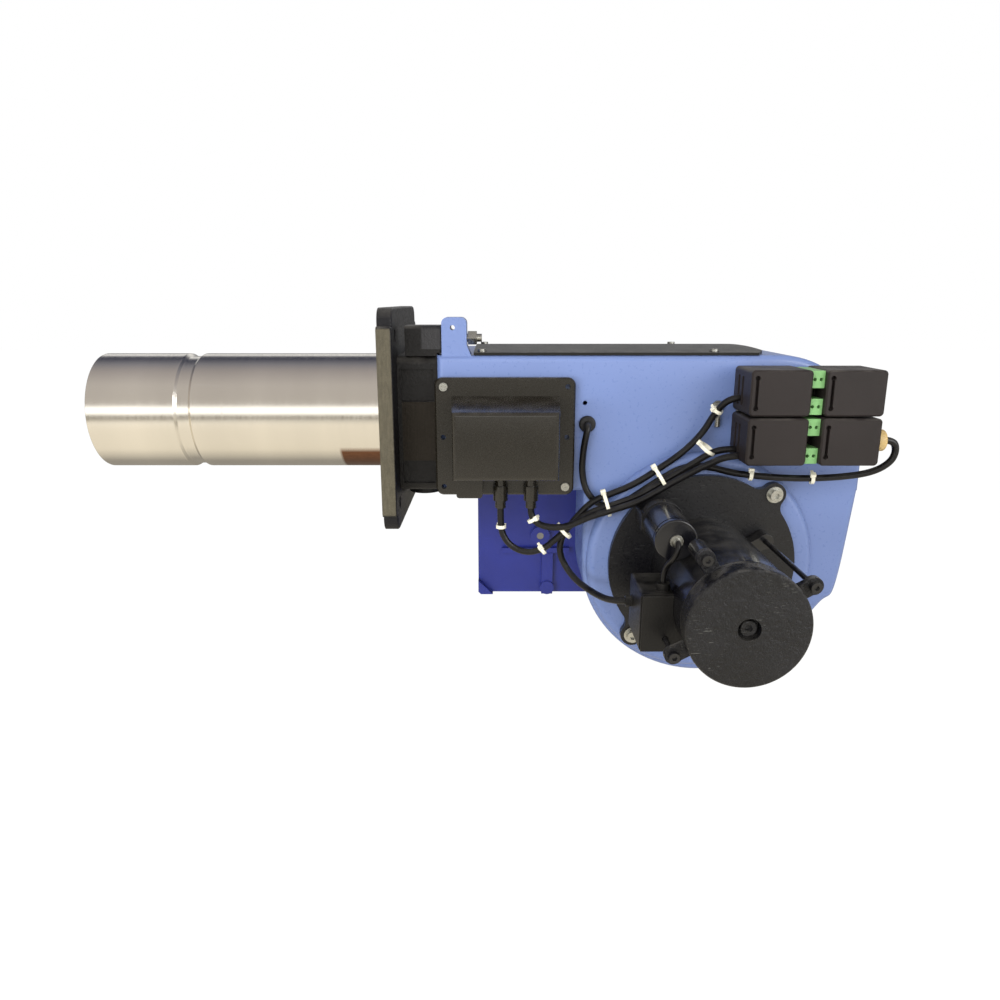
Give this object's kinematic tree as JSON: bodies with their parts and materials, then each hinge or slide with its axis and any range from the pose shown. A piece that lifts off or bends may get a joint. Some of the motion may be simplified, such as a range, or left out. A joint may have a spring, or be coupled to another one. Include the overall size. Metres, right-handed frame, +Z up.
{
  "type": "forced draught gas burner",
  "caption": "Forced-draught gas burner: polished blast tube, black flange and neck, blue fan housing with motor, ignition transformer, plug connectors and black leads.",
  "frame": {"origin": "centre of the flange face that bolts to the boiler, on the axis of the blast tube", "axes": "-X along the blast tube into the boiler, +Z up, -Y towards the motor"},
  "size_m": [0.8225, 0.411, 0.3908],
  "materials": {
    "steel_polished": "polished",
    "cast_black": "painted black",
    "zinc": "zinc plated",
    "steel": "plain",
    "brass": "turned",
    "ceramic": "glazed",
    "blue_paint": "enamel",
    "blue_paint_dark": "enamel",
    "black_plastic": "fine grain",
    "aluminium": "mill",
    "black_paint": "satin",
    "copper": "enamelled wire",
    "gloss_moulding": "gloss",
    "plug_plastic": "fine grain",
    "green_plastic": "smooth",
    "tan_plastic": "smooth",
    "rubber": "moulded",
    "lead_rubber": "smooth"
  },
  "bodies": {
    "burner": {"blast_tube": "steel_polished", "mounting_flange": "cast_black", "neck_casting": "cast_black", "joint_screws": "zinc", "gas_manifold": "cast_black", "main_housing": "blue_paint", "top_cover": "black_plastic", "panel_screws": "zinc", "intake_box": "blue_paint_dark", "inlet_ring": "steel", "damper_servo": "black_plastic", "servo_bracket": "zinc", "air_pressure_switch": "black_plastic", "bearing_outer_rings": "steel", "motor_plate": "cast_black", "plate_washers": "zinc", "plate_screws": "zinc", "motor_front_shield": "cast_black", "motor_shell": "black_paint", "stator_core": "steel", "stator_windings": "copper", "motor_end_shield": "cast_black", "motor_end_cap": "cast_black", "end_cap_screw": "zinc", "tie_rods": "zinc", "capacitor_can": "black_paint", "capacitor_gland": "aluminium", "capacitor_clip": "black_paint", "terminal_box": "black_plastic", "terminal_lid": "black_plastic", "ignition_transformer": "gloss_moulding", "plug_housings": "plug_plastic", "plug_inserts": "green_plastic", "plug_bracket": "zinc", "plug_gland": "tan_plastic", "cable_grommet": "rubber", "earth_lug": "zinc", "motor_lead": "lead_rubber", "spout_lead_left": "lead_rubber", "spout_lead_right": "lead_rubber", "ignition_lead": "lead_rubber", "capacitor_lead": "lead_rubber"},
    "fan": {"fan_impeller": "steel", "fan_hub": "aluminium", "motor_shaft": "steel", "hub_screw": "zinc", "rotor_core": "steel", "bearing_inner_rings": "steel"},
    "damper": {"damper_flap": "aluminium", "damper_spindle": "steel", "servo_coupling": "zinc"},
    "mixing_head": {"gas_pipe": "steel", "gas_nozzle": "brass", "diffuser_disc": "steel", "ignition_electrodes": "ceramic", "flame_electrode": "ceramic", "electrode_clamp": "steel", "adjusting_arm": "zinc", "adjusting_rod": "zinc", "adjusting_nut": "zinc"}
  },
  "joints": [
    {"name": "fan_spin", "type": "hinge", "parent": "burner", "child": "fan", "pos_m": [0.33, -0.15, -0.15], "axis": [0, 1, 0], "continuous": true},
    {"name": "damper_turn", "type": "hinge", "parent": "burner", "child": "damper", "pos_m": [0.166, 0.04, -0.145], "axis": [0, 1, 0], "range_deg": [0, 90]},
    {"name": "head_slide", "type": "slide", "parent": "burner", "child": "mixing_head", "axis": [1, 0, 0], "range_m": [0, 0.02]}
  ]
}
